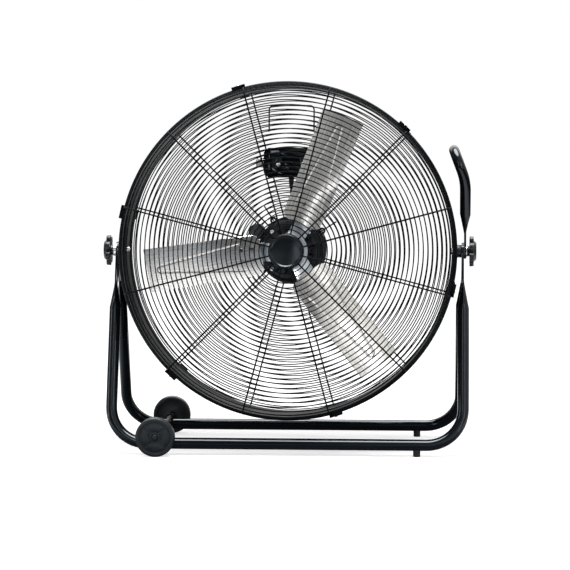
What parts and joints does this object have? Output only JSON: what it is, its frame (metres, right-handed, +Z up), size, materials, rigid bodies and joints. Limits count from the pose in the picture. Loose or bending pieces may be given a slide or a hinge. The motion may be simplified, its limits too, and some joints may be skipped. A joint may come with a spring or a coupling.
{
  "type": "drum fan",
  "caption": "Drum fan: wire-guarded steel barrel with pressed metal blades, tilting between bent tube legs on wheels and rubber feet.",
  "frame": {"origin": "on the floor, midway between the legs, under the pivot axis", "axes": "+Z up; X along the pivot axis, the handle at +X and the wheels at -X; the air leaves towards -Y"},
  "size_m": [0.7252, 0.324, 0.7122],
  "materials": {
    "black_gloss_paint": "gloss powder coat",
    "black_motor_paint": "satin paint",
    "black_plastic": "moulded, satin to gloss",
    "black_rubber": "matt",
    "blade_aluminium": "mill finish",
    "zinc_steel": "bright zinc plate",
    "core_steel": "varnished laminations",
    "capacitor_plastic": "satin",
    "switch_plastic": "matt",
    "grey_plastic": "satin"
  },
  "bodies": {
    "stand": {"front_tube": "black_gloss_paint", "rear_tube": "black_gloss_paint", "push_handle": "black_gloss_paint", "foot_front": "black_rubber", "foot_rear": "black_rubber", "axle_brackets": "black_gloss_paint", "base_screws": "zinc_steel", "axle": "zinc_steel", "axle_caps": "zinc_steel", "filler_ring": "zinc_steel", "clamp_washers": "zinc_steel"},
    "drum": {"pivot_spacer_left": "zinc_steel", "pivot_spacer_right": "zinc_steel", "pivot_bolt_left": "zinc_steel", "pivot_bolt_right": "zinc_steel", "barrel": "black_gloss_paint", "front_guard_rings": "black_gloss_paint", "front_guard_spokes": "black_gloss_paint", "front_hub_plate": "black_gloss_paint", "guard_badge": "black_plastic", "rear_guard_rings": "black_gloss_paint", "rear_guard_spokes": "black_gloss_paint", "guard_clips": "black_gloss_paint", "clip_screws": "zinc_steel", "motor_plate": "black_motor_paint", "motor_mount_screws": "zinc_steel", "motor_rear_bell": "black_motor_paint", "motor_stator": "core_steel", "motor_front_bell": "black_motor_paint", "motor_through_bolts": "zinc_steel", "bearing_rear": "zinc_steel", "bearing_front": "zinc_steel", "capacitor": "capacitor_plastic", "capacitor_strap": "zinc_steel", "switch_box": "black_motor_paint", "box_cover": "black_motor_paint", "cover_screws": "zinc_steel", "power_gland": "black_rubber", "box_clamps": "black_gloss_paint", "box_screws": "zinc_steel", "speed_switch": "switch_plastic", "lead_relief": "black_rubber", "motor_lead": "black_rubber", "lead_grommet": "black_rubber", "rear_handle": "black_gloss_paint"},
    "rotor": {"blade_1": "blade_aluminium", "blade_2": "blade_aluminium", "blade_3": "blade_aluminium", "blade_spider": "zinc_steel", "blade_rivets": "blade_aluminium", "hub_collar": "zinc_steel", "hub_set_screw": "zinc_steel", "motor_shaft": "zinc_steel", "rotor_core": "core_steel"},
    "wheel_front": {"wheel_front": "black_plastic"},
    "wheel_rear": {"wheel_rear": "black_plastic"},
    "clamp_knob_left": {"clamp_knob_left": "black_plastic"},
    "clamp_knob_right": {"clamp_knob_right": "black_plastic"},
    "speed_knob": {"speed_knob": "grey_plastic"}
  },
  "joints": [
    {"name": "drum_tilt", "type": "hinge", "parent": "stand", "child": "drum", "pos_m": [0, 0, 0.383], "axis": [1, 0, 0], "range_deg": [-86.5, 93.5]},
    {"name": "fan_spin", "type": "hinge", "parent": "drum", "child": "rotor", "pos_m": [0, 0, 0.383], "axis": [0, -0.9981, 0.061], "continuous": true},
    {"name": "clamp_knob_left_turn", "type": "hinge", "parent": "drum", "child": "clamp_knob_left", "pos_m": [-0.35, 0, 0.383], "axis": [-1, 0, 0], "range_deg": [0, 540]},
    {"name": "clamp_knob_right_turn", "type": "hinge", "parent": "drum", "child": "clamp_knob_right", "pos_m": [0.35, 0, 0.383], "axis": [1, 0, 0], "range_deg": [0, 540]},
    {"name": "speed_knob_turn", "type": "hinge", "parent": "drum", "child": "speed_knob", "pos_m": [-0.0585, 0.13689, 0.54895], "axis": [-1, 0, 0], "range_deg": [0, 135]},
    {"name": "wheel_front_spin", "type": "hinge", "parent": "stand", "child": "wheel_front", "pos_m": [-0.248, -0.151, 0.0375], "axis": [0, 1, 0], "continuous": true},
    {"name": "wheel_rear_spin", "type": "hinge", "parent": "stand", "child": "wheel_rear", "pos_m": [-0.248, 0.151, 0.0375], "axis": [0, 1, 0], "continuous": true}
  ]
}
